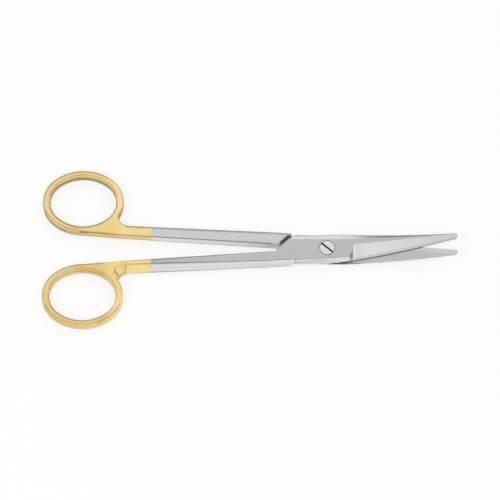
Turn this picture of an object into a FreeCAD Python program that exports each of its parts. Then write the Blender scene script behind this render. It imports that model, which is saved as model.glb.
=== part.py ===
import FreeCAD, Part

import math
import os

import Sketcher
from FreeCAD import Placement, Rotation, Vector

# Dissecting scissors with curved blades and gold finger rings, lying open a few degrees.
# X runs along the scissors to the tips, Y across, Z up. The origin is on the screw's axis,
# at the underside of the joint. All lengths are in millimetres.
#
# The two halves are the same forging turned about X, apart from the way their blades bend.
# Each is drawn in its own frame: its parting plane is z = 0, its joint plate lies above that
# plane, its ring lies at negative y and its blade's back at positive y.

os.makedirs("parts", exist_ok=True)
doc = FreeCAD.newDocument("dissecting_scissors")

# Driving dimensions

SIZES = {
    # joint
    "plate_thick": 2.8,
    "lap_gap": 0.12,
    "plate_side": 6.1,
    "plate_crest": 3.7,
    "plate_drop": 1.8,
    "shoulder_x": -18.2,
    "shoulder_y": 3.4,
    "shoulder_angle": 40.0,
    "stop_gap": 0.5,
    "closing_angle": 5.2,
    "plate_waist": 0.4,
    "plate_bow": 0.15,
    "side_crest_rear": 5.35,
    "side_crest_front": 4.0,
    # blades
    "blade_length": 53.3,
    "bend_start": 6.0,
    "tip_rise": 7.2,
    "tip_thick": 1.6,
    "heel_x": 4.1,
    "heel_y": 6.1,
    "tip_trim": 1.7,
    "edge_tip_y": 2.2,
    "back_wide_x": 8.0,
    "back_wide_y": 6.2,
    "back_tip_y": 4.6,
    "tip_radius": 1.35,
    "edge_land": 0.45,
    "hollow_start": 10.6,
    "hollow_heel": 1.5,
    "hollow_corner": 2.2,
    "hollow_dip": 1.2,
    "hollow_tip": 4.6,
    "crest_tip_y": 4.0,
    "runout_length": 0.9,
    # cutting inserts
    "insert_inset": 0.5,
    "insert_width": 1.9,
    "insert_depth": 0.75,
    # screw
    "screw_head": 6.2,
    "screw_rim": 0.5,
    "screw_bevel": 0.15,
    "screw_shank": 3.5,
    "screw_clear": 0.04,
    "thread_clear": 0.01,
    "slot_width": 0.7,
    "slot_depth": 0.75,
    "slot_angle": -40.0,
    # shanks
    "shank_toe_x": -14.0,
    "shank_front_x": -21.3,
    "shank_front_y": 4.22,
    "shank_front_width": 5.25,
    "shank_rear_x": -84.0,
    "shank_rear_y": 7.85,
    "shank_rear_width": 4.5,
    "shank_rear_thick": 4.2,
    "crest_front": 4.0,
    "crest_rear": 1.55,
    "facet_share": 0.58,
    "facet_drop": 1.5,
    "shank_chamfer": 0.9,
    # finger rings
    "ring_front_x": -83.7,
    "ring_y": 20.4,
    "ring_length": 33.2,
    "ring_width": 27.4,
    "ring_rim": 3.0,
    "ring_thick": 4.3,
    "ring_crown": 0.2,
    "ring_bevel": 0.6,
    "ring_end_radius": 12.2,
    "web_fillet": 3.0,
    "web_bite": 0.4,
}

sheet = doc.addObject("Spreadsheet::Sheet", "sizes")
for row, (alias, value) in enumerate(SIZES.items(), start=1):
    sheet.set(f"A{row}", alias)
    sheet.set(f"B{row}", str(value))
    sheet.setAlias(f"B{row}", alias)
doc.recompute()


def size(alias):
    """Value of a driving dimension."""
    return float(sheet.get(alias))


# Sketch helpers

def value_of(entry):
    """Number behind a coordinate, which is a number or an expression on the sheet."""
    if isinstance(entry, str):
        return float(sheet.evalExpression(entry))
    return float(entry)


def bind(owner, path, entry):
    """Tie a property to the sheet where its value is an expression."""
    if isinstance(entry, str):
        owner.setExpression(path, entry)


def new_sketch(body, name, role, offset=0.0):
    """Sketch on one of the body's origin planes, moved along that plane's normal."""
    sketch = body.newObject("Sketcher::SketchObject", name)
    plane = next(p for p in body.Origin.OriginFeatures if p.Role == role)
    sketch.AttachmentSupport = [(plane, "")]
    sketch.MapMode = "FlatFace"
    sketch.AttachmentOffset = Placement(Vector(0, 0, value_of(offset)), Rotation())
    bind(sketch, "AttachmentOffset.Base.z", offset)
    return sketch


def pin_vertex(sketch, geometry, end, corner):
    """Hold one vertex of a sketch at its two coordinates."""
    for kind, entry in zip(("DistanceX", "DistanceY"), corner):
        place = value_of(entry)
        index = sketch.addConstraint(
            Sketcher.Constraint(kind, -1, 1, geometry, end, place))
        bind(sketch, f"Constraints[{index}]", entry)


def draw_loop(sketch, corners, bulges=None):
    """Closed loop of lines, with an arc through a middle point where bulges names one.

    corners is a list of (u, v), each a number or an expression; bulges maps the number of
    an edge to the middle point of its arc.
    """
    bulges = bulges or {}
    points = [Vector(value_of(u), value_of(v), 0) for u, v in corners]
    first = sketch.GeometryCount
    count = len(points)
    for number, start in enumerate(points):
        end = points[(number + 1) % count]
        if number in bulges:
            middle = Vector(*bulges[number], 0)
            if (middle - start).cross(end - middle).z < 0:
                start, end = end, start
            sketch.addGeometry(Part.Arc(start, middle, end), False)
        else:
            sketch.addGeometry(Part.LineSegment(start, end), False)
    for number, start in enumerate(points):
        geometry = sketch.Geometry[first + number]
        begins = (geometry.StartPoint - start).Length < 1e-6
        near, far = (1, 2) if begins else (2, 1)
        pin_vertex(sketch, first + number, near, corners[number])
        follower = sketch.Geometry[first + (number + 1) % count]
        meeting = points[(number + 1) % count]
        joint = 1 if (follower.StartPoint - meeting).Length < 1e-6 else 2
        sketch.addConstraint(Sketcher.Constraint(
            "Coincident", first + number, far, first + (number + 1) % count, joint))
        if number in bulges:
            sketch.addConstraint(Sketcher.Constraint(
                "Radius", first + number, geometry.Radius))


def draw_circle(sketch, radius, centre=(0.0, 0.0)):
    """Circle whose radius is a number or an expression."""
    u, v = (value_of(entry) for entry in centre)
    index = sketch.addGeometry(
        Part.Circle(Vector(u, v, 0), Vector(0, 0, 1), value_of(radius)), False)
    pin_vertex(sketch, index, 3, centre)
    held = sketch.addConstraint(Sketcher.Constraint("Radius", index, value_of(radius)))
    bind(sketch, f"Constraints[{held}]", radius)


# Feature helpers

def pad(body, name, sketch, length, midplane=False, down=False):
    """Pad whose length is a number or an expression."""
    feature = body.newObject("PartDesign::Pad", name)
    feature.Profile = sketch
    feature.Length = value_of(length)
    bind(feature, "Length", length)
    feature.Midplane = midplane
    feature.Reversed = down
    feature.Refine = False
    doc.recompute()
    return feature


def cut_away(body, name, sketch, length, midplane=False, up=False):
    """Pocket that has to take material off the body."""
    before = body.Shape.Volume
    feature = body.newObject("PartDesign::Pocket", name)
    feature.Profile = sketch
    feature.Length = value_of(length)
    bind(feature, "Length", length)
    feature.Midplane = midplane
    feature.Reversed = up
    feature.Refine = False
    doc.recompute()
    if not feature.Shape.Volume < before:
        raise ValueError(f"{name} cuts nothing")
    return feature


def turned(body, kind, name, sketch, angle):
    """Revolution or Groove about the sketch's upright axis, half to each side."""
    feature = body.newObject(f"PartDesign::{kind}", name)
    feature.Profile = sketch
    feature.ReferenceAxis = (sketch, ["V_Axis"])
    feature.Angle = angle
    feature.Midplane = True
    feature.Refine = False
    doc.recompute()
    return feature


def lofted(body, kind, name, sketches, ruled=False):
    """AdditiveLoft or SubtractiveLoft through a row of section sketches."""
    feature = body.newObject(f"PartDesign::{kind}", name)
    feature.Profile = sketches[0]
    feature.Sections = sketches[1:]
    feature.Ruled = ruled
    feature.Refine = False
    doc.recompute()
    return feature


def between(start, end, share):
    """Value part of the way from start to end."""
    return start + (end - start) * share


# Blade form: both faces of a blade are turned about the screw's axis, so that the two inner
# faces pass each other at one distance at every opening.

GAP = size("lap_gap") / 2
THICK = size("plate_thick")

# Blanks reach past the blade's tip, and cutters past the faces that they dress
BLANK_SPARE = 1.5
CUTTER_SPARE = 0.8
REACH = size("blade_length") + BLANK_SPARE - size("bend_start")


def rise_at(radius, tip_rise):
    """Height gained by an arc that starts level at the bend and gains tip_rise at its end."""
    run = max(radius - size("bend_start"), 0.0)
    if abs(tip_rise) < 1e-6:
        return 0.0
    arc = (REACH ** 2 + tip_rise ** 2) / (2 * tip_rise)
    return arc - math.copysign(math.sqrt(arc ** 2 - run ** 2), arc)


class BladeForm:
    """Heights and outline of one half's blade, bending to its own side or away from it."""

    def __init__(self, side):
        self.inner_rise = side * size("tip_rise")
        self.outer_rise = self.inner_rise + size("tip_thick") - THICK

    def inner(self, along, across=0.0):
        """Height of the inner face."""
        return GAP + rise_at(math.hypot(along, across), self.inner_rise)

    def outer(self, along, across=0.0):
        """Height of the outer face."""
        return THICK + rise_at(math.hypot(along, across), self.outer_rise)


EDGE_TIP_X = size("blade_length") - size("tip_trim")


def edge_at(along):
    """Place of the cutting edge across the blade."""
    slope = (size("edge_tip_y") + size("heel_y")) / (EDGE_TIP_X - size("heel_x"))
    return -size("heel_y") + slope * (along - size("heel_x"))


def back_at(along):
    """Place of the blade's back, which falls from its widest place to the tip."""
    share = max(along - size("back_wide_x"), 0.0) / (
        size("blade_length") - size("tip_radius") - size("back_wide_x"))
    return between(size("back_wide_y"), size("back_tip_y"), share ** 0.9)


def section_row(body, name, stations, corners_at):
    """Section sketches across the blade at a row of stations."""
    row = []
    for number, along in enumerate(stations):
        section = new_sketch(body, f"{name}_{number}", "YZ_Plane", along)
        draw_loop(section, corners_at(along))
        row.append(section)
    return row


def beyond(start, end):
    """Point on the line from start to end, past end by a cutter's spare length."""
    reach = math.hypot(end[0] - start[0], end[1] - start[1])
    share = 1 + CUTTER_SPARE / reach
    return (between(start[0], end[0], share), between(start[1], end[1], share))


# One half: blade, joint plate, shank and finger ring in one piece

def add_blade(body, form):
    """Blade turned between its two faces and trimmed to its outline."""
    reach = size("bend_start") + REACH
    inner_mid = size("bend_start") + REACH / 2
    profile = new_sketch(body, "blade_profile", "XZ_Plane")
    draw_loop(
        profile,
        [(0, "sizes.lap_gap / 2"), ("sizes.bend_start", "sizes.lap_gap / 2"),
         (reach, form.inner(reach)), (reach, form.outer(reach)),
         ("sizes.bend_start", "sizes.plate_thick"), (0, "sizes.plate_thick")],
        bulges={1: (inner_mid, form.inner(inner_mid)), 3: (inner_mid, form.outer(inner_mid))})
    turned(body, "Revolution", "blade_blank", profile, 180)

    length, radius = size("blade_length"), size("tip_radius")
    tip_back = length - radius
    middle = (size("back_wide_x") + tip_back) / 2
    tip_across = (size("back_tip_y") + size("edge_tip_y")) / 2
    outline = new_sketch(body, "blade_outline", "XY_Plane")
    far = 2 * length
    draw_loop(
        outline,
        [("-2 * sizes.blade_length", -far), (far, -far), (far, far), (-far, far)])
    draw_loop(
        outline,
        [(-far / 2, "-sizes.plate_side"), ("sizes.heel_x", "-sizes.heel_y"),
         ("sizes.blade_length - sizes.tip_trim", "sizes.edge_tip_y"),
         (tip_back, "sizes.back_tip_y"),
         ("sizes.back_wide_x", "sizes.back_wide_y"), (-far / 2, "sizes.back_wide_y")],
        bulges={2: (length, tip_across), 3: (middle, back_at(middle))})
    cut_away(body, "blade_trim", outline, 8 * THICK + 4 * size("tip_rise"), midplane=True)


def stop_edge_at(across):
    """Place along X of the plate's rear edge, which meets the other half's shoulder when shut."""
    turn = math.radians(size("closing_angle"))
    slope = math.radians(size("shoulder_angle")) + turn
    base_x = size("shoulder_x") * math.cos(turn) - size("shoulder_y") * math.sin(turn)
    base_y = size("shoulder_x") * math.sin(turn) + size("shoulder_y") * math.cos(turn)
    base_x += size("stop_gap") * math.sin(slope)
    base_y -= size("stop_gap") * math.cos(slope)
    return base_x + (across - base_y) / math.tan(slope)


def shoulder_at(across):
    """Place along X of the half's own shoulder, at the other half's side of the lap."""
    slope = math.tan(math.radians(size("shoulder_angle")))
    return size("shoulder_x") + (-across - size("shoulder_y")) / slope


def shank_centre(along):
    """Place of the shank's middle line across the scissors."""
    share = (along - size("shank_front_x")) / (size("shank_rear_x") - size("shank_front_x"))
    return -between(size("shank_front_y"), size("shank_rear_y"), share)


def shank_value(front, rear, along):
    """Value that changes evenly along the shank, the same in front of its front section."""
    share = (along - size("shank_front_x")) / (size("shank_rear_x") - size("shank_front_x"))
    return between(front, rear, max(share, 0.0))


def shank_points(along):
    """Section of the shank from its inner edge over the crest to the foot of its outer side."""
    centre = shank_centre(along)
    half = shank_value(size("shank_front_width"), size("shank_rear_width"), along) / 2
    rise = shank_value(THICK, size("shank_rear_thick") / 2, along)
    inner, outer = centre + half, centre - half
    crest = inner - shank_value(size("crest_front"), size("crest_rear"), along)
    facet = (between(crest, outer, size("facet_share")), rise - size("facet_drop"))
    chamfer = size("shank_chamfer")
    return [(inner, rise), (crest, rise), facet, (outer, chamfer - rise),
            (outer + chamfer, -rise), (inner, -rise)]


def add_plate(body):
    """Plate of the lap joint behind the screw and the block that its shoulder stands on."""
    side, rear = size("back_wide_y"), size("plate_side") - size("plate_waist")
    front, toe = size("shank_front_x"), size("shank_toe_x")
    front_inner, front_outer = shank_points(front)[0][0], shank_points(front)[3][0]
    toe_outer = shank_points(toe)[3][0]
    top = stop_edge_at(rear)
    waist = ((top + size("back_wide_x")) / 2, (rear + side) / 2 - size("plate_bow"))
    outline = new_sketch(body, "plate_outline", "XY_Plane", "sizes.lap_gap / 2")
    draw_loop(
        outline,
        [(top, rear), (stop_edge_at(front_inner), front_inner), (front, front_inner),
         (front, front_outer), (toe, toe_outer), ("sizes.heel_x", "-sizes.heel_y"),
         ("sizes.back_wide_x", 0), ("sizes.back_wide_x", side)],
        bulges={7: waist})
    pad(body, "plate", outline, "sizes.plate_thick - sizes.lap_gap / 2")
    block = new_sketch(body, "shoulder_outline", "XY_Plane", "-sizes.plate_thick")
    draw_loop(
        block,
        [(front, front_inner), (front, front_outer), (shoulder_at(toe_outer), toe_outer),
         (shoulder_at(front_inner), front_inner)])
    pad(body, "shoulder", block, "sizes.plate_thick + sizes.lap_gap / 2")


def add_shank(body):
    """Facets on the block's outer side, and the shank lofted from there to the web."""
    def outside(along):
        inner_top, crest, facet, foot, sole, inner_foot = shank_points(along)
        far = foot[0] - CUTTER_SPARE
        return [beyond(facet, crest), facet, foot, beyond(foot, sole),
                (far, sole[1] - CUTTER_SPARE), (far, crest[1] + CUTTER_SPARE)]

    front, toe = size("shank_front_x"), size("shank_toe_x")
    facets = section_row(body, "facet", [front, toe + CUTTER_SPARE], outside)
    lofted(body, "SubtractiveLoft", "shoulder_facets", facets, ruled=True)
    sections = section_row(body, "shank_section", [size("shank_rear_x"), front], shank_points)
    lofted(body, "AdditiveLoft", "shank", sections, ruled=True)


RING_X = size("ring_front_x") - size("ring_length") / 2


def oval_arcs(inset):
    """Centres and radii of the ring's oval, its outline moved inwards by inset."""
    half_long, half_wide = size("ring_length") / 2, size("ring_width") / 2
    end = size("ring_end_radius")
    shift = half_long - end
    side = (half_wide ** 2 + shift ** 2 - end ** 2) / (2 * (half_wide - end))
    return shift, side - half_wide, end - inset, side - inset


def oval_point(inset, lean):
    """Point of the oval moved inwards by inset whose normal leans from +Y towards +X."""
    shift, drop, end, side = oval_arcs(inset)
    centre = -size("ring_y")
    if abs(lean) < math.atan2(shift, drop):
        return RING_X + side * math.sin(lean), centre - drop + side * math.cos(lean)
    shift = math.copysign(shift, lean)
    return RING_X + shift + end * math.sin(lean), centre + end * math.cos(lean)


def draw_oval(sketch, inset):
    """Oval of tangent arcs about the ring's middle, closed at its front end."""
    shift, drop, end, side = oval_arcs(inset)
    knee = math.atan2(shift, drop)
    front, half_way = math.pi / 2, (knee + math.pi / 2) / 2

    def mirrored(point):
        return point[0], -2 * size("ring_y") - point[1]

    corners = [oval_point(inset, lean) for lean in (front, knee, -knee)]
    corners += [mirrored(oval_point(inset, lean)) for lean in (-knee, knee)]
    bow = oval_point(inset, half_way)
    draw_loop(sketch, corners, bulges={
        0: bow, 1: oval_point(inset, 0.0), 2: oval_point(inset, -front),
        3: mirrored(oval_point(inset, 0.0)), 4: mirrored(bow)})


def add_ring(body):
    """Finger ring: a bevelled band with a crowned top and sole, swept along an oval."""
    rim = size("ring_rim") / 2
    top = size("ring_thick") / 2
    edge = top - size("ring_crown")
    wall = edge - size("ring_bevel")
    path = new_sketch(body, "ring_path", "XY_Plane")
    draw_oval(path, rim)
    section = new_sketch(body, "ring_section", "XZ_Plane", "sizes.ring_y")
    middle = size("ring_front_x") - rim
    left, right = middle - rim, middle + rim
    near, far = left + size("ring_bevel"), right - size("ring_bevel")
    draw_loop(
        section,
        [(left, wall), (left, -wall), (near, -edge), (far, -edge), (right, -wall),
         (right, wall), (far, edge), (near, edge)],
        bulges={2: (middle, -top), 6: (middle, top)})
    ring = body.newObject("PartDesign::AdditivePipe", "ring")
    ring.Profile = section
    ring.Spine = (path, [])
    ring.Refine = False
    doc.recompute()


def web_corners(inset):
    """Outline of the web between ring and shank, its outer side moved inwards by inset."""
    shift, drop, end, side = oval_arcs(0.0)
    bend = size("web_fillet")
    rear = size("shank_rear_x")
    outer = shank_centre(rear) - size("shank_rear_width") / 2
    inner = outer + size("shank_rear_width")
    rise = outer - bend + size("ring_y")
    run = math.sqrt((end + bend) ** 2 - rise ** 2)
    centre = (RING_X + shift + run, outer - bend)
    lean = math.atan2(run, rise)
    bite = size("web_bite")
    middle_line = size("ring_rim") / 2
    core = middle_line + bite / 2
    slope = math.atan2(size("shank_rear_y") - size("shank_rear_width") / 2
                       - size("shank_front_y") + size("shank_front_width") / 2,
                       size("shank_front_x") - rear)
    knee = math.atan2(shift, drop)
    turn = math.pi - lean / 2
    middle = (centre[0] + (bend + inset) * math.cos(turn),
              centre[1] + (bend + inset) * math.sin(turn))
    on_shank = (centre[0], outer + inset)
    corners = [on_shank, oval_point(max(bite, min(inset, middle_line)), lean), oval_point(core, lean),
               oval_point(core, knee), oval_point(core, -slope), oval_point(bite, -slope),
               (rear, inner), (on_shank[0], inner + (on_shank[0] - rear) * math.tan(slope))]
    return corners, {0: middle, 2: oval_point(core, (lean + knee) / 2),
                     3: oval_point(core, (knee - slope) / 2)}


def add_web(body):
    """Web that fills the corner between ring and shank, its outer side sloping to the crest."""
    level = size("shank_rear_thick") / 2
    base = new_sketch(body, "web_outline", "XY_Plane", -level)
    corners, bulges = web_corners(0.0)
    draw_loop(base, corners, bulges)
    pad(body, "web", base, 2 * level - size("facet_drop"))
    low = new_sketch(body, "web_low", "XY_Plane", level - size("facet_drop"))
    draw_loop(low, *web_corners(0.0))
    high = new_sketch(body, "web_high", "XY_Plane", level)
    draw_loop(high, *web_corners(size("shank_rear_width") - size("crest_rear")))
    lofted(body, "AdditiveLoft", "web_slope", [low, high], ruled=True)


def dress_back(body, form):
    """Chamfer along the back of the blade and the plate's same side."""
    def corners(along):
        flat = max(along, 0.0)
        thick = form.outer(flat) - form.inner(flat) if flat else THICK
        back = back_at(flat) if along > size("back_wide_x") else size("back_wide_y")
        crest_share = flat / size("blade_length")
        crest = between(size("plate_crest"), size("crest_tip_y"), crest_share)
        top = form.outer(flat, crest) if flat else THICK
        wall = top - size("plate_drop") * thick / THICK
        high = beyond((back, wall), (crest, top))
        low = beyond((crest, top), (back, wall))
        return [high, low, (low[0] + CUTTER_SPARE, high[1])]

    length = size("blade_length")
    rear = section_row(body, "back_rear", [size("shank_front_x"), 0.0], corners)
    lofted(body, "SubtractiveLoft", "plate_chamfer", rear, ruled=True)
    front = section_row(
        body, "back_front",
        [(length + CUTTER_SPARE) * share for share in (0.0, 0.2, 0.4, 0.6, 0.8, 1.0)], corners)
    lofted(body, "SubtractiveLoft", "back_chamfer", front)


def dress_side(body):
    """Chamfer along the plate's outer side, in line with the shank's crest."""
    def corners(along):
        share = (along - size("shank_toe_x")) / (size("hollow_start") - size("shank_toe_x"))
        crest = -between(size("side_crest_rear"), size("side_crest_front"), share)
        side = min(edge_at(along), -size("plate_side")) if along < size("heel_x") \
            else edge_at(along)
        wall = THICK - size("facet_drop")
        high = beyond((side, wall), (crest, THICK))
        low = beyond((crest, THICK), (side, wall))
        return [high, low, (low[0] - CUTTER_SPARE, high[1])]

    rear = section_row(
        body, "side_rear", [size("shank_toe_x"), size("heel_x")], corners)
    lofted(body, "SubtractiveLoft", "side_chamfer", rear, ruled=True)
    front = section_row(
        body, "side_front", [size("heel_x"), size("hollow_start")], corners)
    lofted(body, "SubtractiveLoft", "heel_chamfer", front, ruled=True)


def dress_hollow(body, form):
    """Ground panel from the cutting edge up to the flat of the blade, with its run-out."""
    start, length = size("hollow_start"), size("blade_length")

    def corners(along, lift=0.0):
        edge = (edge_at(along), form.inner(along, edge_at(along)) + size("edge_land") + lift)
        across = between(size("hollow_heel"), size("hollow_tip"),
                         (along - start) / (length - start))
        round_off = max(1 - (along - start) / size("hollow_corner"), 0.0)
        across -= size("hollow_dip") * (1 - math.sqrt(1 - min(round_off, 1.0) ** 2))
        top = (across, form.outer(along, across) + lift)
        high = beyond(edge, top)
        low = beyond(top, edge)
        roof = form.outer(along, across) + THICK
        return [high, low, (low[0], roof), (high[0], roof)]

    full = start + size("hollow_corner")
    stations = [between(full, length + CUTTER_SPARE, share)
                for share in (0.0, 0.2, 0.4, 0.6, 0.8, 1.0)]
    row = section_row(body, "hollow", stations, corners)
    lofted(body, "SubtractiveLoft", "hollow_panel", row)
    rounded = section_row(
        body, "hollow_corner", [start, between(start, full, 1 / 3), full], corners)
    lofted(body, "SubtractiveLoft", "hollow_corner", rounded)
    runout = section_row(body, "runout", [start], corners)
    shallow = section_row(
        body, "runout_end", [start - size("runout_length")],
        lambda along: corners(along, THICK - size("edge_land") - GAP))
    lofted(body, "SubtractiveLoft", "hollow_runout", runout + shallow, ruled=True)


def bore_head_seat(body):
    """Countersunk seat for the screw in the upper plate."""
    clear = size("screw_clear")
    head, shank = size("screw_head") / 2 + clear, size("screw_shank") / 2 + clear
    cone = THICK - size("screw_rim")
    seat = new_sketch(body, "screw_seat", "XZ_Plane")
    draw_loop(seat, [(0, -THICK), (shank, -THICK), (shank, cone - head + shank),
                     (head, cone), (head, 2 * THICK), (0, 2 * THICK)])
    turned(body, "Groove", "screw_hole", seat, 360)


def bore_thread(body):
    """Hole that takes the screw's thread in the lower plate."""
    hole = new_sketch(body, "thread_circle", "XY_Plane", -size("plate_thick"))
    draw_circle(hole, "sizes.screw_shank / 2 + sizes.thread_clear")
    cut_away(body, "thread_hole", hole, 3 * THICK, up=True)


def make_half(name, side, bore):
    """One half as a body in its own frame."""
    body = doc.addObject("PartDesign::Body", name)
    body.AllowCompound = True
    form = BladeForm(side)
    add_blade(body, form)
    add_plate(body)
    add_shank(body)
    add_ring(body)
    add_web(body)
    dress_back(body, form)
    dress_side(body)
    dress_hollow(body, form)
    bore(body)
    return body, form


# Cutting insert: a strip let into the inner face along the cutting edge

def make_insert_blank(name, form):
    """Strip that fills the insert's seat and stands past the blade's edge, tip and inner face."""
    body = doc.addObject("PartDesign::Body", name)
    start = size("hollow_start") + size("insert_inset")
    end = size("blade_length") + CUTTER_SPARE
    reach = size("bend_start") + REACH
    middle = (size("bend_start") + reach) / 2
    depth = size("insert_depth")
    profile = new_sketch(body, name + "_profile", "XZ_Plane")
    root = size("bend_start")
    draw_loop(
        profile,
        [(root, form.inner(root) - depth), (reach, form.inner(reach) - depth),
         (reach, form.inner(reach) + depth), (root, form.inner(root) + depth)],
        bulges={0: (middle, form.inner(middle) - depth),
                2: (middle, form.inner(middle) + depth)})
    turned(body, "Revolution", name + "_turned", profile, 120)
    wide = size("insert_width")
    band = new_sketch(body, name + "_band", "XY_Plane")
    far = 2 * size("blade_length")
    draw_loop(band, [(-far, -far), (far, -far), (far, far), (-far, far)])
    draw_loop(band, [(start, edge_at(start) - CUTTER_SPARE), (end, edge_at(end) - CUTTER_SPARE),
                     (end, edge_at(end) + wide), (start, edge_at(start) + wide)])
    cut_away(body, name + "_trim", band, 8 * THICK + 4 * size("tip_rise"), midplane=True)
    return body


# Joint screw: slotted, countersunk in the upper plate, fast in the lower one

def make_screw():
    """Screw turned to its profile, with the slot across its head."""
    body = doc.addObject("PartDesign::Body", "screw_body")
    rim = size("screw_rim")
    head, shank = size("screw_head") / 2, size("screw_shank") / 2
    cone = THICK - rim
    bevel = size("screw_bevel")
    profile = new_sketch(body, "screw_profile", "XZ_Plane")
    draw_loop(
        profile,
        [(0, "-sizes.plate_thick"), (shank - bevel, "-sizes.plate_thick"),
         ("sizes.screw_shank / 2", bevel - THICK), ("sizes.screw_shank / 2", cone - head + shank),
         ("sizes.screw_head / 2", cone), ("sizes.screw_head / 2", THICK - bevel),
         (head - bevel, "sizes.plate_thick"), (0, "sizes.plate_thick")])
    turned(body, "Revolution", "screw_turned", profile, 360)
    slot = new_sketch(body, "screw_slot", "XY_Plane", "sizes.plate_thick")
    lean = math.radians(size("slot_angle"))
    long, half = size("screw_head"), size("slot_width") / 2
    draw_loop(slot, [(u * math.cos(lean) - v * math.sin(lean),
                      u * math.sin(lean) + v * math.cos(lean))
                     for u, v in ((-long, -half), (long, -half), (long, half), (-long, half))])
    cut_away(body, "slot", slot, "sizes.slot_depth")
    return body


def place(item, label, turned_over):
    """Name a finished piece and set it in the scissors."""
    turn = Rotation(Vector(1, 0, 0), 180) if turned_over else Rotation()
    item.Label = label
    item.Placement = Placement(Vector(0, 0, THICK), turn)
    item.setExpression("Placement.Base.z", "sizes.plate_thick")
    return item


def finish_half(label, side, bore, turned_over):
    """Half with the seat of its insert cut out, and the insert that fills the seat."""
    body, form = make_half(label + "_forging", side, bore)
    blank = make_insert_blank(label + "_blank", form)
    insert = doc.addObject("Part::Common", label + "_strip")
    insert.Base, insert.Tool = body, blank
    half = doc.addObject("Part::Cut", label + "_seated")
    half.Base, half.Tool = body, blank
    for item in (insert, half):
        item.Refine = False
    doc.recompute()
    return [place(half, label + "_half", turned_over),
            place(insert, label + "_insert", turned_over)]


pieces = finish_half("front", 1, bore_head_seat, False)
pieces += finish_half("rear", -1, bore_thread, True)
pieces.append(place(make_screw(), "joint_screw", False))
doc.recompute()

for item in doc.Objects:
    if "Invalid" in item.State or "Error" in item.State:
        raise ValueError(f"{item.Name} failed: {item.State}")
for piece in pieces:
    if piece.Shape.isNull() or not piece.Shape.isValid() or len(piece.Shape.Solids) != 1:
        raise ValueError(f"{piece.Label} is not one sound solid")
for piece in pieces:
    piece.Shape.exportStep(f"parts/{piece.Label}.step")
    print(f"{piece.Label}: {piece.Shape.Volume:.1f} mm3, {len(piece.Shape.Faces)} faces")
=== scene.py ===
"""Dissecting scissors: metal finishes, a pale studio and the camera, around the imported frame."""

from __future__ import annotations

import logging
import math
from dataclasses import dataclass
from enum import Enum
from typing import Any, Union

import bpy
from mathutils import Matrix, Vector


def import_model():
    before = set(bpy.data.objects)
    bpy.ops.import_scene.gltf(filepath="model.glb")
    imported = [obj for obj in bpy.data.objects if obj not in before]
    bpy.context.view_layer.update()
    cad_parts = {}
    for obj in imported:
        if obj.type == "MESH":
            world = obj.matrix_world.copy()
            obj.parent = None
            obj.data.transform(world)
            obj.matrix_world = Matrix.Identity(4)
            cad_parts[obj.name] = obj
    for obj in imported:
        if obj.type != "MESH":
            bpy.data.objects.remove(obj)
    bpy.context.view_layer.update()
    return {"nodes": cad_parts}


LOG = logging.getLogger("dissecting_scissors")
MM = 0.001
WHITE = (1.0, 1.0, 1.0)
Colour = tuple[float, float, float]
Value = Union["Signal", float]


class Axis(Enum):
    """Row axes, as a grinder names them on the lying scissors."""

    ALONG = 0
    ACROSS = 1
    UPRIGHT = 2


class Side(Enum):
    """Side of the lap joint on which a half's own plate lies."""

    UPPER = 1.0
    LOWER = -1.0


class Blend(Enum):
    """Ways in which two colours are put together."""

    MIX = "MIX"
    MULTIPLY = "MULTIPLY"


def linear(red: int, green: int, blue: int) -> Colour:
    """Turn a colour as seen on a screen into the linear colour that a shader takes.

    Args:
        red: Red from 0 to 255.
        green: Green from 0 to 255.
        blue: Blue from 0 to 255.

    Returns:
        The three linear values from 0 to 1.
    """
    def channel(value: int) -> float:
        """Undo the screen's curve for one value."""
        share = value / 255
        return share / 12.92 if share <= 0.04045 else ((share + 0.055) / 1.055) ** 2.4

    return channel(red), channel(green), channel(blue)


@dataclass(frozen=True)
class Step:
    """Stretch of a value over which a mask changes."""

    low: float
    high: float


NOISE_STEP = Step(0.3, 0.7)


@dataclass(frozen=True)
class Signal:
    """Output socket of a shader tree, on which arithmetic adds Math nodes."""

    tree: "ShaderTree"
    socket: bpy.types.NodeSocket

    def _math(self, operation: str, first: Value, second: Value) -> "Signal":
        """Add a Math node for an operation on two values."""
        return self.tree.node("ShaderNodeMath", {"operation": operation}, {0: first, 1: second})

    def __add__(self, other: Value) -> "Signal":
        """Sum of this and another value."""
        return self._math("ADD", self, other)

    def __radd__(self, other: Value) -> "Signal":
        """Sum of another value and this one."""
        return self._math("ADD", other, self)

    def __sub__(self, other: Value) -> "Signal":
        """This value less another."""
        return self._math("SUBTRACT", self, other)

    def __rsub__(self, other: Value) -> "Signal":
        """Another value less this one."""
        return self._math("SUBTRACT", other, self)

    def __mul__(self, other: Value) -> "Signal":
        """Product of this and another value."""
        return self._math("MULTIPLY", self, other)

    def __rmul__(self, other: Value) -> "Signal":
        """Product of another value and this one."""
        return self._math("MULTIPLY", other, self)

    def clipped_to(self, other: Value) -> "Signal":
        """Larger of this and another value."""
        return self._math("MAXIMUM", self, other)

    def size(self) -> "Signal":
        """This value without its sign."""
        return self.tree.node("ShaderNodeMath", {"operation": "ABSOLUTE"}, {0: self})

    def rise(self, step: Step, start: float = 0.0, end: float = 1.0) -> "Signal":
        """Smooth change from start to end as this value passes a step.

        Args:
            step: Values between which the change lies.
            start: Result below the step.
            end: Result above the step.

        Returns:
            The stepped value.
        """
        return self.tree.node(
            "ShaderNodeMapRange", {"interpolation_type": "SMOOTHSTEP"},
            {"Value": self, "From Min": step.low, "From Max": step.high,
             "To Min": start, "To Max": end})

    def fall(self, step: Step) -> "Signal":
        """1 below a step and 0 above it."""
        return self.rise(step, 1.0, 0.0)


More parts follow.
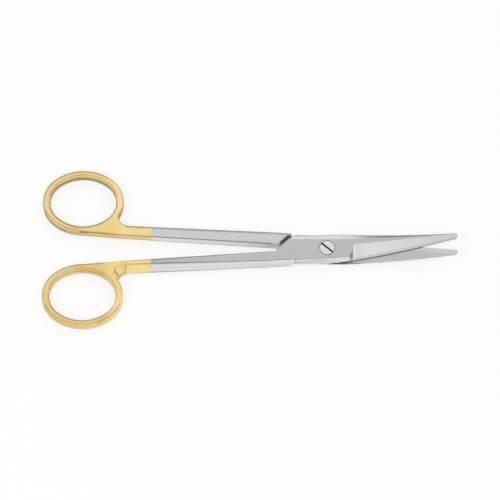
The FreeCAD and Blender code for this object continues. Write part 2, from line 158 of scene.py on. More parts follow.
class ShaderTree:
    """Node tree of one material or of the world, with one way to add any node."""

    def __init__(self, tree: bpy.types.NodeTree) -> None:
        """Take over a node tree and empty it.

        Args:
            tree: Tree to fill.
        """
        self.tree = tree
        self.tree.nodes.clear()

    def node(self, kind: str, settings: dict[str, Any] | None = None,
             inputs: dict[int | str, Any] | None = None, output: int | str = 0) -> Signal:
        """Add a node, make its settings and fill its sockets.

        Args:
            kind: Node type.
            settings: Properties to set first; "stops" fills a ramp.
            inputs: Value or link for each socket, by number or name.
            output: Socket whose signal is returned.

        Returns:
            The chosen output.
        """
        made = self.tree.nodes.new(kind)
        for name, setting in (settings or {}).items():
            if name == "stops":
                self._fill_ramp(made, setting)
            else:
                setattr(made, name, setting)
        for key, entry in (inputs or {}).items():
            socket = made.inputs[key]
            if isinstance(entry, Signal):
                self.tree.links.new(entry.socket, socket)
            elif isinstance(entry, tuple) and socket.type == "RGBA":
                socket.default_value = (*entry[:3], 1.0)
            else:
                socket.default_value = entry
        return Signal(self, made.outputs[output] if made.outputs else None)

    @staticmethod
    def _fill_ramp(made: bpy.types.Node, stops: list[tuple[float, float]]) -> None:
        """Give a colour ramp its grey stops.

        Args:
            made: Colour ramp node.
            stops: Place and grey value of each stop.
        """
        elements = made.color_ramp.elements
        while len(elements) < len(stops):
            elements.new(1.0)
        for element, (place, grey) in zip(elements, stops):
            element.position = place
            element.color = (grey, grey, grey, 1.0)

    def mix(self, blend: Blend, share: Value, under: Any, over: Any) -> Signal:
        """Put one colour over another.

        Args:
            blend: How the colours meet.
            share: Strength of the upper colour.
            under: Lower colour or signal.
            over: Upper colour or signal.

        Returns:
            The mixed colour.
        """
        return self.node(
            "ShaderNodeMix", {"data_type": "RGBA", "blend_type": blend.value},
            {0: share, 6: under, 7: over}, output=2)

    def vector(self, operation: str, first: Any, second: Any = None,
               output: int | str = 0) -> Signal:
        """Add a Vector Math node for an operation on one or two vectors.

        Args:
            operation: Operation of the node.
            first: First vector or signal.
            second: Second vector or signal, if the operation takes one.
            output: Socket whose signal is returned.

        Returns:
            The chosen output.
        """
        inputs = {0: first} if second is None else {0: first, 1: second}
        return self.node("ShaderNodeVectorMath", {"operation": operation}, inputs, output)

    def noise(self, place: Signal, scale: float, detail: float = 2.0,
              roughness: float = 0.5) -> Signal:
        """Noise between about 0.2 and 0.8.

        Args:
            place: Where the noise is read.
            scale: Cells for each metre of place.
            detail: Octaves.
            roughness: Weight of the finer octaves.

        Returns:
            The noise value.
        """
        return self.node("ShaderNodeTexNoise", {}, {
            "Vector": place, "Scale": scale, "Detail": detail, "Roughness": roughness})


class MetalSurface:
    """Tree of a metal material with the coordinates that every finish reads.

    Attributes:
        bevel_samples: Samples that find the edges near a point.
        sharp_edge: Agreement of the own and the rounded normal near a sharp edge.
        faint_edge: The same near an edge between two faces that lie almost in one plane.
        faint_share: Strength of a faint edge beside a sharp one.
    """

    bevel_samples: int = 8
    sharp_edge: Step = Step(0.955, 0.998)
    faint_edge: Step = Step(0.985, 0.9995)
    faint_share: float = 0.3

    def __init__(self, name: str) -> None:
        """Start an empty material.

        Args:
            name: Name of the material.
        """
        self.material = bpy.data.materials.new(name)
        self.material.use_nodes = True
        self.tree = ShaderTree(self.material.node_tree)
        self.place = self.tree.node("ShaderNodeTexCoord", output="Object")
        self.parts = self.tree.node("ShaderNodeSeparateXYZ", {}, {0: self.place})
        normal = self.tree.node("ShaderNodeTexCoord", output="Normal")
        self.faces = self.tree.node("ShaderNodeSeparateXYZ", {}, {0: normal})

    def along(self, axis: Axis) -> Signal:
        """Place on one row axis, in metres."""
        return Signal(self.tree, self.parts.socket.node.outputs[axis.value])

    def facing(self, axis: Axis) -> Signal:
        """How far the face's own normal points along one row axis, from -1 to 1."""
        return Signal(self.tree, self.faces.socket.node.outputs[axis.value])

    def upright(self) -> Signal:
        """How far the face's own normal points up or down, from 0 to 1."""
        return self.facing(Axis.UPRIGHT).size()

    def rounded(self, reach: Value) -> Signal:
        """Normal as it turns over an edge that is rounded by a radius in metres."""
        return self.tree.node(
            "ShaderNodeBevel", {"samples": self.bevel_samples}, {"Radius": reach})

    def crest(self, reach: Value) -> Signal:
        """1 on the edge between two polished faces, 0 away from it.

        Args:
            reach: Distance from the edge in metres at which the crest ends, or its signal.

        Returns:
            The crest mask.
        """
        own = self.tree.node("ShaderNodeNewGeometry", output="Normal")
        agree = self.tree.vector("DOT_PRODUCT", self.rounded(reach), own, "Value")
        return agree.fall(self.sharp_edge).clipped_to(
            agree.rise(self.faint_edge, self.faint_share, 0.0))

    def from_axis(self) -> Signal:
        """Distance from the screw's axis, in metres."""
        level = self.tree.vector("MULTIPLY", self.place, (1.0, 1.0, 0.0))
        return self.tree.vector("LENGTH", level, output="Value")

    def strokes(self, axis: Axis, fine: float, stretch: float) -> Signal:
        """Noise drawn out into the strokes of a wheel or belt.

        Args:
            axis: Axis that the strokes follow.
            fine: Strokes for each metre across them.
            stretch: How many times longer than wide a stroke is.

        Returns:
            The stroke height.
        """
        squeeze = [1.0, 1.0, 1.0]
        squeeze[axis.value] = 1 / stretch
        drawn = self.tree.vector("MULTIPLY", self.place, tuple(squeeze))
        return self.tree.noise(drawn, fine, detail=3.0, roughness=0.6)

    def finish(self, colour: Any, roughness: Any, height: Signal, depth: float,
               edge: Value) -> bpy.types.Material:
        """Close the tree with a metallic shader, soft edges and a bump.

        Args:
            colour: Base colour or its signal.
            roughness: Roughness or its signal.
            height: Height of the fine relief, from 0 to 1.
            depth: Height of the relief in metres.
            edge: Radius that the polishing left on the edges, in metres, or its signal.

        Returns:
            The finished material.
        """
        bump = self.tree.node("ShaderNodeBump", {}, {
            "Strength": 1.0, "Distance": depth, "Height": height, "Normal": self.rounded(edge)})
        shader = self.tree.node("ShaderNodeBsdfPrincipled", {}, {
            "Base Color": colour, "Metallic": 1.0, "Roughness": roughness, "Normal": bump})
        self.tree.node("ShaderNodeOutputMaterial", {}, {"Surface": shader})
        return self.material


@dataclass(frozen=True)
class HalfZones:
    """Zones of one half, as masks, most of them for painted shade, painted highlight and painted
    reflection lines.
    """

    surface: MetalSurface
    side: Side

    # Plane where the halves meet, and the lean at which a face counts as flat
    lap_height: float = 2.8 * MM
    flat_upright: Step = Step(0.93, 0.97)

    # Shank and the painted dark reflection lines on its crests
    shank_lines: Step = Step(-24.0 * MM, -22.0 * MM)
    shank_edges: Step = Step(-24.0 * MM, -20.0 * MM)
    shank_polish: Step = Step(-20.0 * MM, -12.0 * MM)
    crest_reach: float = 0.8 * MM
    crest_growth: float = 1.0
    crest_widens: Step = Step(-75.0 * MM, -30.0 * MM)

    # Painted dark reflection lines on both long edges of the joint's plate
    plate_line_side: Step = Step(2.5 * MM, 2.9 * MM)
    plate_line_end: Step = Step(2.0 * MM, 6.0 * MM)
    plate_line_upright: Step = Step(0.85, 0.95)
    back_line_side: Step = Step(-4.0 * MM, -3.6 * MM)
    back_line_height: Step = Step(1.9 * MM, 2.3 * MM)
    back_line_start: Step = Step(-14.0 * MM, -12.0 * MM)
    back_line_end: Step = Step(12.0 * MM, 16.0 * MM)

    # Painted shade on the upright wall of the shoulder
    wall_rear: Step = Step(-20.0 * MM, -19.0 * MM)
    wall_front: Step = Step(-14.6 * MM, -13.6 * MM)
    wall_side: Step = Step(0.0, 0.2 * MM)
    wall_foot: Step = Step(-0.2 * MM, 0.0)
    wall_top: Step = Step(2.5 * MM, 2.7 * MM)
    wall_pale_foot: Step = Step(0.6 * MM, 1.0 * MM)
    wall_pale_share: float = 0.75
    wall_facing: Step = Step(0.3, 0.5)

    # Painted shade in the deep end of the run-out
    runout_rear: Step = Step(9.0 * MM, 9.5 * MM)
    runout_front: Step = Step(10.45 * MM, 10.75 * MM)
    runout_side: Step = Step(-2.0 * MM, -1.5 * MM)
    runout_top: Step = Step(2.3 * MM, 2.7 * MM)
    runout_foot: Step = Step(1.2 * MM, 1.6 * MM)
    runout_upright: Step = Step(0.9, 0.98)

    # Painted shade on the crescent where the wheel's rim ran out
    mark_middle: float = 4.1 * MM
    mark_bulge: float = 180.0
    mark_rear: Step = Step(9.0 * MM, 9.4 * MM)
    mark_front: Step = Step(10.2 * MM, 10.5 * MM)
    mark_back: Step = Step(1.7 * MM, 2.5 * MM)
    mark_edge: Step = Step(5.5 * MM, 6.1 * MM)
    mark_foot: Step = Step(2.0 * MM, 2.2 * MM)

    # Painted shade on the land under the cutting edge
    land_start: Step = Step(1.5 * MM, 2.5 * MM)
    land_upright: Step = Step(0.3, 0.5)
    land_facing: Step = Step(0.3, 0.6)
    land_top: Step = Step(0.7 * MM, 0.9 * MM)
    land_lift: float = 0.5 * MM
    land_lowers: Step = Step(4.0 * MM, 9.0 * MM)
    land_pales: Step = Step(10.0 * MM, 18.0 * MM)
    land_tip_share: float = 0.75

    # Painted shade in the seam round the screw's head
    seam_outer: Step = Step(3.14 * MM, 3.32 * MM)
    seam_foot: Step = Step(4.0 * MM, 4.5 * MM)

    # Radii of the polished edges, and where they change
    joint_edge: float = 0.15 * MM
    plate_edge: float = 0.45 * MM
    shank_edge: float = 0.8 * MM
    soft_front: Step = Step(3.5 * MM, 3.9 * MM)
    soft_front_end: Step = Step(8.0 * MM, 11.0 * MM)
    soft_back: Step = Step(-3.9 * MM, -3.5 * MM)

    def along(self) -> Signal:
        """Place from the rings towards the tips, in metres from the screw."""
        return self.surface.along(Axis.ALONG)

    def across(self) -> Signal:
        """Place from the half's back towards its cutting side, in metres from the screw."""
        return self.surface.along(Axis.ACROSS) * (-self.side.value)

    def outwards(self) -> Signal:
        """Height from the plane where the halves meet towards the half's own outer side."""
        return (self.surface.along(Axis.UPRIGHT) - self.lap_height) * self.side.value

    def flatness(self) -> Signal:
        """1 on the faces that lie flat, 0 on the facets and walls."""
        return self.surface.upright().rise(self.flat_upright)

    def shank_highlight_zone(self) -> Signal:
        """1 on the shank, fading out where the joint begins; it carries the rear half's painted
        highlight.
        """
        return self.along().fall(self.shank_polish)

    def crest_reflection_lines(self) -> Signal:
        """Painted dark reflection lines on the shank's crests and on both long edges of the plate.

        Returns:
            The mask, 1 on the lines.
        """
        shank = self.along().fall(self.shank_lines)
        plate = (self.across().rise(self.plate_line_side)
                 * self.along().fall(self.plate_line_end)
                 * self.surface.upright().rise(self.plate_line_upright))
        back = (self.across().fall(self.back_line_side)
                * self.outwards().fall(self.back_line_height)
                * self.along().rise(self.back_line_start)
                * self.along().fall(self.back_line_end))
        reach: Value = self.crest_reach
        if self.side is Side.UPPER:
            reach = reach * (1 + self.along().rise(self.crest_widens, self.crest_growth, 0.0))
        return self.surface.crest(reach) * shank.clipped_to(plate).clipped_to(back)

    def crest_highlight(self, reach: float) -> Signal:
        """1 beside the shank's crests, where a painted highlight lies."""
        return self.surface.crest(reach) * self.along().fall(self.shank_lines)

    def joint_wall_shade(self) -> Signal:
        """Painted shade on the upright wall of the shoulder in the lap joint.

        Returns:
            The mask, 1 on the wall and a little less along its foot.
        """
        height = self.outwards() * -1.0
        within = (self.along().rise(self.wall_rear)
                  * self.along().fall(self.wall_front)
                  * self.across().rise(self.wall_side)
                  * height.rise(self.wall_foot)
                  * height.fall(self.wall_top))
        shade = height.rise(self.wall_pale_foot, self.wall_pale_share, 1.0)
        return within * shade * self.surface.facing(Axis.ALONG).rise(self.wall_facing)

    def runout_shade(self) -> Signal:
        """Painted shade in the deep end of the run-out.

        Returns:
            The mask, 1 in the run-out.
        """
        return (self.along().rise(self.runout_rear)
                * self.along().fall(self.runout_front)
                * self.across().rise(self.runout_side)
                * self.outwards().fall(self.runout_top)
                * self.outwards().rise(self.runout_foot)
                * self.surface.upright().fall(self.runout_upright))

    def runout_crescent_shade(self) -> Signal:
        """Painted shade on the crescent where the wheel's rim ran out before the ground panel.

        Returns:
            The mask, 1 on the crescent.
        """
        off_middle = self.across() - self.mark_middle
        bulge = off_middle * off_middle * self.mark_bulge
        return ((self.along() - bulge).rise(self.mark_rear)
                * self.along().fall(self.mark_front)
                * self.across().rise(self.mark_back)
                * self.across().fall(self.mark_edge)
                * self.outwards().rise(self.mark_foot))

    def edge_land_shade(self) -> Signal:
        """Painted shade on the narrow upright land under the cutting edge.

        Returns:
            The mask, 1 on the land beside the joint and a little less towards the tip.
        """
        lift = self.along().rise(self.land_lowers, self.land_lift, 0.0)
        to_edge = self.surface.facing(Axis.ACROSS) * (-self.side.value)
        return (self.along().rise(self.land_start)
                * self.surface.upright().fall(self.land_upright)
                * (self.outwards() - lift).fall(self.land_top)
                * self.along().rise(self.land_pales, 1.0, self.land_tip_share)
                * to_edge.rise(self.land_facing))

    def screw_seam_shade(self) -> Signal:
        """1 in the fine seam round the screw's head, where shade is painted."""
        ring = self.surface.from_axis().fall(self.seam_outer)
        return ring * self.surface.along(Axis.UPRIGHT).rise(self.seam_foot)

    def edge_radius(self) -> Signal:
        """Radius of the polished edges, soft on the shank and crisp at the joint and blade.

        Returns:
            The radius in metres.
        """
        shank = self.along().fall(self.shank_edges)
        front = self.across().rise(self.soft_front) * self.along().fall(self.soft_front_end)
        plate = front.clipped_to(self.across().fall(self.soft_back))
        return (self.joint_edge + shank * (self.shank_edge - self.joint_edge)
                + (1 - shank) * plate * (self.plate_edge - self.joint_edge))


@dataclass(frozen=True)
class SatinSteel:
    """Stainless steel with satin flats and polished facets, with painted highlight on the facets
    and beside the crests, painted dark reflection lines on the crests and painted shade on the
    joint's walls and deep corners.
    """

    flat: Colour = linear(197, 199, 201)
    flat_shade: Colour = linear(193, 195, 197)
    # Painted highlight: the facets take a lighter colour than the flats of the same steel, the
    # rear half's facets a lighter one still
    facet_highlight: Colour = linear(225, 227, 228)
    rear_facet_highlight: Colour = linear(246, 247, 248)
    # Painted reflection: dark line along the crests
    crest: Colour = linear(96, 98, 100)
    # Painted shade on the joint's wall, the run-out, the wheel's crescent and the land under the
    # cutting edge
    scale: Colour = linear(40, 41, 43)
    # Painted shade in the seam round the screw's head
    seam_shade: Colour = linear(120, 122, 124)
    painted_crest_share: float = 0.8
    crest_highlight_reach: float = 1.6 * MM
    crest_highlight_share: float = 0.7
    shank_highlight_share: float = 0.5
    wheel_shade_share: float = 0.6
    patches_in_metre: float = 90.0
    strokes_in_metre: float = 7000.0
    stroke_stretch: float = 30.0
    stroke_step: Step = Step(0.35, 0.65)
    stroke_dark: float = 0.98
    roughness: float = 0.24
    facet_roughness: float = 0.18
    belt_roughness: float = 0.06
    belt_lines_in_metre: float = 2600.0
    belt_stretch: float = 20.0
    relief: float = 0.0006 * MM

    def satin(self, zones: HalfZones) -> Signal:
        """Colour of the satin flats, with faint patches and strokes, and a painted highlight
        beside the crests.

        Args:
            zones: Zones of the half.

        Returns:
            The colour.
        """
        surface = zones.surface
        tree = surface.tree
        patches = tree.noise(surface.place, self.patches_in_metre, detail=4.0).rise(NOISE_STEP)
        toned = tree.mix(Blend.MIX, patches, self.flat, self.flat_shade)
        strokes = surface.strokes(Axis.ALONG, self.strokes_in_metre, self.stroke_stretch).rise(
            self.stroke_step, self.stroke_dark, 1.0)
        grey = tree.node("ShaderNodeCombineColor", {}, {0: strokes, 1: strokes, 2: strokes})
        toned = tree.mix(Blend.MULTIPLY, 1.0, toned, grey)
        # Painted highlight beside the shank's crests, and on the rear half's shank
        polished = zones.crest_highlight(self.crest_highlight_reach) * self.crest_highlight_share
        if zones.side is Side.LOWER:
            polished = polished.clipped_to(zones.shank_highlight_zone() * self.shank_highlight_share)
        return tree.mix(Blend.MIX, polished, toned, self.facet_highlight)

    def colour(self, zones: HalfZones) -> Signal:
        """Colour of the half's steel, with painted highlight on its facets, painted dark
        reflection lines and painted shade.

        Args:
            zones: Zones of the half.

        Returns:
            The colour.
        """
        tree = zones.surface.tree
        # Painted highlight: faces that are not flat take the lighter facet colour
        facet_highlight = self.facet_highlight if zones.side is Side.UPPER else self.rear_facet_highlight
        toned = tree.mix(Blend.MIX, zones.flatness(), facet_highlight, self.satin(zones))
        # Painted dark reflection lines along the crests
        toned = tree.mix(
            Blend.MIX, zones.crest_reflection_lines() * self.painted_crest_share, toned, self.crest)
        # Painted shade in the seam round the screw's head
        toned = tree.mix(Blend.MIX, zones.screw_seam_shade(), toned, self.seam_shade)
        # Painted shade on the joint wall, the run-out, the wheel's crescent and the edge land
        painted_shade = (zones.joint_wall_shade()
                .clipped_to(zones.runout_shade() * self.wheel_shade_share)
                .clipped_to(zones.edge_land_shade())
                .clipped_to(zones.runout_crescent_shade() * self.wheel_shade_share))
        return tree.mix(Blend.MIX, painted_shade, toned, self.scale)

    def rough(self, zones: HalfZones) -> Signal:
        """Roughness that follows the belt's lines, lower on the facets.

        Args:
            zones: Zones of the half.

        Returns:
            The roughness.
        """
        satin = zones.flatness() * (self.roughness - self.facet_roughness)
        lines = zones.surface.strokes(Axis.ALONG, self.belt_lines_in_metre, self.belt_stretch)
        return self.facet_roughness + satin + lines * self.belt_roughness


@dataclass(frozen=True)
class GoldPlate:
    """Thin gold over the polished ring and shank's end, with painted shade on the crests and the
    ring's outer back.
    """

    tone: Colour = linear(253, 228, 162)
    warm: Colour = linear(241, 209, 135)
    # Painted shade on the gold's crests and on the ring's outer back
    painted_gold_shade: Colour = linear(138, 112, 68)
    roughness: float = 0.16
    border: Step = Step(-72.32 * MM, -72.08 * MM)
    border_wander: float = 0.3 * MM
    wanders_in_metre: float = 900.0
    patches_in_metre: float = 70.0
    patch_step: Step = Step(0.35, 0.7)
    painted_crest_share: float = 0.7
    crest_reach: float = 0.7 * MM
    ring_reach: float = 0.7 * MM
    ring_end: Step = Step(-93.0 * MM, -86.0 * MM)
    back_facing: Step = Step(-0.2, 0.6)
    back_share: float = 0.6
    web_rear: Step = Step(-93.0 * MM, -90.0 * MM)
    web_front: Step = Step(-81.0 * MM, -79.0 * MM)
    web_share: float = 0.35

    def mask(self, surface: MetalSurface) -> Signal:
        """1 on the plated end, 0 on the bare steel."""
        wander = surface.tree.noise(surface.place, self.wanders_in_metre) * self.border_wander
        return (surface.along(Axis.ALONG) + wander).fall(self.border)

    def gold_shade_mask(self, zones: HalfZones) -> Signal:
        """Painted shade on the gold: on its crests and on the ring's outer back.

        Args:
            zones: Zones of the half.

        Returns:
            The mask, 1 where the gold is brownest.
        """
        ring = zones.along().fall(self.ring_end)
        back = ring * zones.surface.facing(Axis.ACROSS).rise(
            self.back_facing, 0.0, self.back_share)
        crest = zones.surface.crest(self.crest_reach + ring * self.ring_reach)
        crest = crest * self.painted_crest_share
        if zones.side is Side.UPPER:
            off_web = zones.along().rise(self.web_front).clipped_to(
                zones.along().fall(self.web_rear))
            crest = crest * (self.web_share + (1 - self.web_share) * off_web)
        return crest.clipped_to(back)

    def colour(self, zones: HalfZones) -> Signal:
        """Colour of the gold, with slow warm patches and painted shade on the crests and the
        ring's outer back.

        Args:
            zones: Zones of the half.

        Returns:
            The colour.
        """
        surface = zones.surface
        patches = surface.tree.noise(surface.place, self.patches_in_metre, detail=3.0)
        gold = surface.tree.mix(Blend.MIX, patches.rise(self.patch_step), self.tone, self.warm)
        return surface.tree.mix(Blend.MIX, self.gold_shade_mask(zones), gold, self.painted_gold_shade)


@dataclass(frozen=True)
class GroundCarbide:
    """Sintered hard metal, ground square to its cutting edge, with painted shade on its upright
    land.
    """

    tone: Colour = linear(211, 213, 215)
    shade: Colour = linear(205, 207, 209)
    # Painted shade on the upright land under the cutting edge
    land_shade: Colour = linear(60, 61, 63)
    land_upright: Step = Step(0.3, 0.5)
    grains_in_metre: float = 16000.0
    lines_in_metre: float = 9000.0
    line_stretch: float = 25.0
    line_weight: float = 0.7
    roughness: float = 0.24
    line_roughness: float = 0.1
    relief: float = 0.002 * MM
    edge: float = 0.05 * MM

    def material(self) -> bpy.types.Material:
        """Make the material of the cutting inserts.

        Returns:
            The material.
        """
        surface = MetalSurface("ground_carbide")
        tree = surface.tree
        grain = tree.noise(surface.place, self.grains_in_metre, detail=2.0)
        lines = surface.strokes(Axis.ACROSS, self.lines_in_metre, self.line_stretch)
        colour = tree.mix(Blend.MIX, grain.rise(NOISE_STEP), self.tone, self.shade)
        # Painted shade on the upright land
        colour = tree.mix(
            Blend.MIX, surface.upright().fall(self.land_upright), colour, self.land_shade)
        rough = self.roughness + lines * self.line_roughness
        height = lines * self.line_weight + grain * (1 - self.line_weight)
        return surface.finish(colour, rough, height, self.relief, self.edge)


@dataclass(frozen=True)
class TurnedScrewSteel:
    """Screw head turned on a lathe, a little brighter than the plate round it, with painted shade
    in its slot.
    """

    tone: Colour = linear(238, 240, 241)
    shade: Colour = linear(222, 224, 226)
    # Painted shade in the slot
    slot_shade: Colour = linear(26, 26, 28)
    slot_top: Step = Step(5.4 * MM, 5.5 * MM)
    slot_under: Step = Step(4.1 * MM, 4.2 * MM)
    rings_in_metre: float = 9000.0
    grains_in_metre: float = 7000.0
    roughness: float = 0.36
    grain_roughness: float = 0.1
    slot_roughness: float = 0.3
    relief: float = 0.003 * MM
    edge: float = 0.06 * MM

    def material(self) -> bpy.types.Material:
        """Make the material of the joint screw.

        Returns:
            The material.
        """
        surface = MetalSurface("turned_screw_steel")
        tree = surface.tree
        rings = tree.node("ShaderNodeTexNoise", {"noise_dimensions": "1D"}, {
            "W": surface.from_axis(), "Scale": self.rings_in_metre, "Detail": 2.0})
        grain = tree.noise(surface.place, self.grains_in_metre, detail=2.0)
        bright = tree.mix(Blend.MIX, grain.rise(NOISE_STEP), self.tone, self.shade)
        height = surface.along(Axis.UPRIGHT)
        # Painted shade darkens the slot, which is also rougher
        in_slot = height.fall(self.slot_top) * height.rise(self.slot_under)
        colour = tree.mix(Blend.MIX, in_slot, bright, self.slot_shade)
        rough = self.roughness + grain * self.grain_roughness + in_slot * self.slot_roughness
        relief = (rings + grain) * 0.5
        return surface.finish(colour, rough, relief, self.relief, self.edge)


@dataclass(frozen=True)
class ForgedHalf:
    """One half of the scissors: steel from the tip to the shank, gold from there to the ring."""

    node: str
    side: Side
    steel: SatinSteel = SatinSteel()
    gold: GoldPlate = GoldPlate()
    strokes_in_metre: float = 6000.0
    stroke_stretch: float = 24.0
    stroke_weight: float = 0.6
    grains_in_metre: float = 9000.0
    smoothed_by_gold: float = 0.6

    def relief(self, surface: MetalSurface, gold: Signal) -> Signal:
        """Height of the strokes and grain, which the plating half fills.

        Args:
            surface: Surface of the half.
            gold: Mask of the plated end.

        Returns:
            The height from 0 to 1.
        """
        strokes = surface.strokes(Axis.ALONG, self.strokes_in_metre, self.stroke_stretch)
        grain = surface.tree.noise(surface.place, self.grains_in_metre, detail=2.0)
        height = strokes * self.stroke_weight + grain * (1 - self.stroke_weight)
        return height * (1 - gold * self.smoothed_by_gold)

    def material(self) -> bpy.types.Material:
        """Make the half's two-metal material.

        Returns:
            The material.
        """
        surface = MetalSurface(self.node + "_metal")
        zones = HalfZones(surface, self.side)
        gold = self.gold.mask(surface)
        colour = surface.tree.mix(
            Blend.MIX, gold, self.steel.colour(zones), self.gold.colour(zones))
        rough = self.steel.rough(zones) * (1 - gold) + gold * self.gold.roughness
        return surface.finish(
            colour, rough, self.relief(surface, gold), self.steel.relief, zones.edge_radius())

    def dress(self, nodes: dict[str, bpy.types.Object]) -> None:
        """Give the half its material.

        Args:
            nodes: Frame nodes by name.
        """
        put_on(nodes[self.node], self.material())


@dataclass(frozen=True)
class CuttingInserts:
    """Both hard strips along the cutting edges."""

    nodes: tuple[str, ...] = ("front_insert", "rear_insert")
    finish: GroundCarbide = GroundCarbide()

    def dress(self, nodes: dict[str, bpy.types.Object]) -> None:
        """Give both strips their material.

        Args:
            nodes: Frame nodes by name.
        """
        material = self.finish.material()
        for name in self.nodes:
            put_on(nodes[name], material)


@dataclass(frozen=True)
class JointScrew:
    """Slotted screw of the joint."""

    node: str = "joint_screw"
    finish: TurnedScrewSteel = TurnedScrewSteel()

    def dress(self, nodes: dict[str, bpy.types.Object]) -> None:
        """Give the screw its material.

        Args:
            nodes: Frame nodes by name.
        """
        put_on(nodes[self.node], self.finish.material())


def put_on(thing: bpy.types.Object, material: bpy.types.Material) -> None:
    """Set the only material of an object.

    Args:
        thing: Object to dress.
        material: Material that it gets.
    """
    if not thing.material_slots:
        thing.data.materials.append(material)
    for slot in thing.material_slots:
        slot.material = material
    LOG.info("%s: %s", thing.name, material.name)


@dataclass(frozen=True)
class SoftLamp:
    """Square area lamp aimed at the scissors, which polished metal doesn't mirror."""

    name: str
    place: tuple[float, float, float]
    aim: tuple[float, float, float]
    side: float
    watts: float

    def hang(self) -> None:
        """Put the lamp in the scene."""
        data = bpy.data.lights.new(self.name, "AREA")
        data.shape = "SQUARE"
        data.size = self.side
        data.energy = self.watts
        lamp = bpy.data.objects.new(self.name, data)
        lamp.location = self.place
        look = Vector(self.aim) - Vector(self.place)
        lamp.rotation_euler = look.to_track_quat("-Z", "Y").to_euler()
        lamp.visible_glossy = False
        bpy.context.scene.collection.objects.link(lamp)


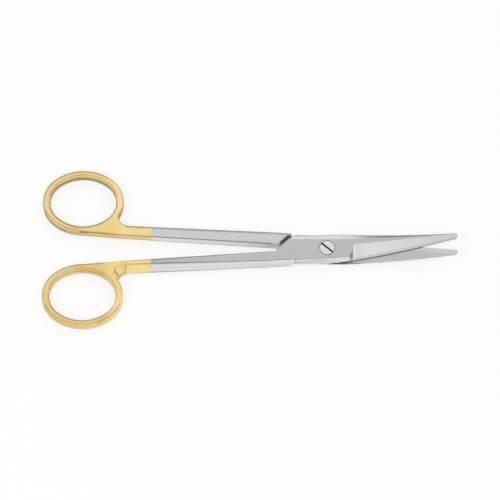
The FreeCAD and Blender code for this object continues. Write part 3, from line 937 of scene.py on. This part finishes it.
@dataclass(frozen=True)
class Studio:
    """White sweep under the scissors, soft lamps and an even sky.

    Attributes:
        room: Brightness that polished metal mirrors, by lean in degrees from the zenith to +Y.
    """

    floor_half: float = 3.0
    floor_z: float = -0.2 * MM
    floor_tone: Colour = (0.9, 0.9, 0.9)
    floor_glow: float = 0.75
    far_floor: Step = Step(50.0 * MM, 120.0 * MM)
    card_near: Step = Step(5.0 * MM, 8.0 * MM)
    card_far: Step = Step(30.0 * MM, 60.0 * MM)
    card_change: Step = Step(-80.0 * MM, -60.0 * MM)
    card_by_rings: Colour = (0.4, 0.4, 0.4)
    card_by_blades: Colour = (0.3, 0.3, 0.3)
    sky_strength: float = 0.75
    room: tuple[tuple[float, float], ...] = (
        (-90.0, 0.95), (-62.0, 0.95), (-52.0, 0.85), (-42.0, 0.72), (-36.0, 0.78), (-30.0, 0.88),
        (-21.0, 1.0), (-13.0, 0.95), (-7.0, 0.5), (4.0, 0.5), (9.0, 0.93), (35.0, 0.95),
        (60.0, 1.0))
    lamps: tuple[SoftLamp, ...] = (
        SoftLamp("key_lamp", (-0.5, -0.35, 0.85), (-0.03, 0.0, 0.0), 0.5, 3.0),
        SoftLamp("fill_lamp", (0.55, 0.5, 0.8), (-0.03, 0.0, 0.0), 0.6, 2.0),
    )

    @staticmethod
    def path_kinds(tree: ShaderTree, *names: str) -> Signal:
        """1 for rays of the named kinds, else 0.

        Args:
            tree: World or material tree.
            names: Outputs of the Light Path node.

        Returns:
            The joined mask.
        """
        path = tree.node("ShaderNodeLightPath").socket.node
        kinds = [Signal(tree, path.outputs[name]) for name in names]
        joined = kinds[0]
        for kind in kinds[1:]:
            joined = joined.clipped_to(kind)
        return joined

    def mirrored_sky(self, tree: ShaderTree) -> Signal:
        """Brightness of the room as polished metal shows it.

        Args:
            tree: World tree.

        Returns:
            The brightness by direction.
        """
        way = tree.node("ShaderNodeTexCoord", output="Generated")
        split = tree.node("ShaderNodeSeparateXYZ", {}, {0: way}).socket.node
        lean = tree.node("ShaderNodeMath", {"operation": "ARCTAN2"}, {
            0: Signal(tree, split.outputs["Y"]), 1: Signal(tree, split.outputs["Z"])})
        turn = lean * (1 / math.pi) + 0.5
        stops = [(degrees / 180 + 0.5, level) for degrees, level in self.room]
        return tree.node("ShaderNodeValToRGB", {"stops": stops}, {0: turn})

    def light_sky(self) -> None:
        """White sky for the camera, the room for metal and a softer light for the rest."""
        world = bpy.data.worlds.new("studio_sky")
        world.use_nodes = True
        bpy.context.scene.world = world
        tree = ShaderTree(world.node_tree)
        mirrored = self.path_kinds(tree, "Is Glossy Ray", "Is Transmission Ray")
        seen = self.path_kinds(tree, "Is Camera Ray")
        rest = self.sky_strength * (1 - mirrored) * (1 - seen)
        strength = rest + seen + mirrored * (1 - seen) * self.mirrored_sky(tree)
        sky = tree.node("ShaderNodeBackground", {}, {"Color": WHITE, "Strength": strength})
        tree.node("ShaderNodeOutputWorld", {}, {"Surface": sky})

    def floor_paper(self) -> bpy.types.Material:
        """Make the floor's white paper, which metal sees with a grey card behind the scissors.

        Returns:
            The material.
        """
        material = bpy.data.materials.new("floor_paper")
        material.use_nodes = True
        tree = ShaderTree(material.node_tree)
        place = tree.node("ShaderNodeTexCoord", output="Object")
        split = tree.node("ShaderNodeSeparateXYZ", {}, {0: place}).socket.node
        along, across = (Signal(tree, split.outputs[name]) for name in ("X", "Y"))
        seen = self.path_kinds(tree, "Is Camera Ray") * self.floor_glow
        polished = self.path_kinds(tree, "Is Glossy Ray", "Is Transmission Ray")
        far = polished * across.size().rise(self.far_floor)
        behind = polished * across.rise(self.card_near) * across.fall(self.card_far)
        paper = tree.node("ShaderNodeBsdfDiffuse", {}, {"Color": self.floor_tone})
        glow = tree.node("ShaderNodeEmission", {}, {"Color": WHITE, "Strength": 1.0})
        tone = tree.mix(Blend.MIX, along.rise(self.card_change),
                        self.card_by_rings, self.card_by_blades)
        card = tree.node("ShaderNodeEmission", {}, {"Color": tone, "Strength": 1.0})
        shown = tree.node("ShaderNodeMixShader", {}, {0: seen + far, 1: paper, 2: glow})
        shown = tree.node("ShaderNodeMixShader", {}, {0: behind, 1: shown, 2: card})
        tree.node("ShaderNodeOutputMaterial", {}, {"Surface": shown})
        return material

    def lay_floor(self) -> None:
        """White floor that keeps the shadow of the scissors."""
        half, z = self.floor_half, self.floor_z
        mesh = bpy.data.meshes.new("studio_floor")
        mesh.from_pydata(
            [(-half, -half, z), (half, -half, z), (half, half, z), (-half, half, z)],
            [], [(0, 1, 2, 3)])
        floor = bpy.data.objects.new("studio_floor", mesh)
        bpy.context.scene.collection.objects.link(floor)
        mesh.materials.append(self.floor_paper())

    def set_up(self) -> None:
        """Make the sky, the floor and the lamps."""
        self.light_sky()
        self.lay_floor()
        for lamp in self.lamps:
            lamp.hang()
        bpy.context.scene.view_settings.view_transform = "Standard"


@dataclass(frozen=True)
class PhotoCamera:
    """Camera that looks down on the scissors from the side of the front ring."""

    elevation: float = 70.0
    distance: float = 2.2
    frame_width: float = 205.1 * MM
    sensor_width_mm: float = 36.0
    clip_end: float = 20.0
    aim: tuple[float, float, float] = (-31.67 * MM, -1.1 * MM, 5.6 * MM)

    def place(self) -> None:
        """Put the camera in the scene and make it the scene's own."""
        lean = math.radians(self.elevation)
        back = Vector((0.0, -math.cos(lean), math.sin(lean)))
        data = bpy.data.cameras.new("photo_camera")
        data.sensor_width = self.sensor_width_mm
        data.lens = self.sensor_width_mm * self.distance / self.frame_width
        data.clip_end = self.clip_end
        camera = bpy.data.objects.new("photo_camera", data)
        camera.location = Vector(self.aim) + back * self.distance
        camera.rotation_euler = (-back).to_track_quat("-Z", "Y").to_euler()
        bpy.context.scene.collection.objects.link(camera)
        bpy.context.scene.camera = camera


def main() -> None:
    """Dress the frame, light it and set the camera."""
    logging.basicConfig(level=logging.INFO, format="%(name)s: %(message)s")
    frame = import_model()
    nodes = frame["nodes"]
    PhotoCamera().place()
    for piece in (ForgedHalf("front_half", Side.UPPER), ForgedHalf("rear_half", Side.LOWER),
                  CuttingInserts(), JointScrew()):
        piece.dress(nodes)
    Studio().set_up()
    LOG.info("%d nodes dressed", len(nodes))


if __name__ == "__main__":
    main()
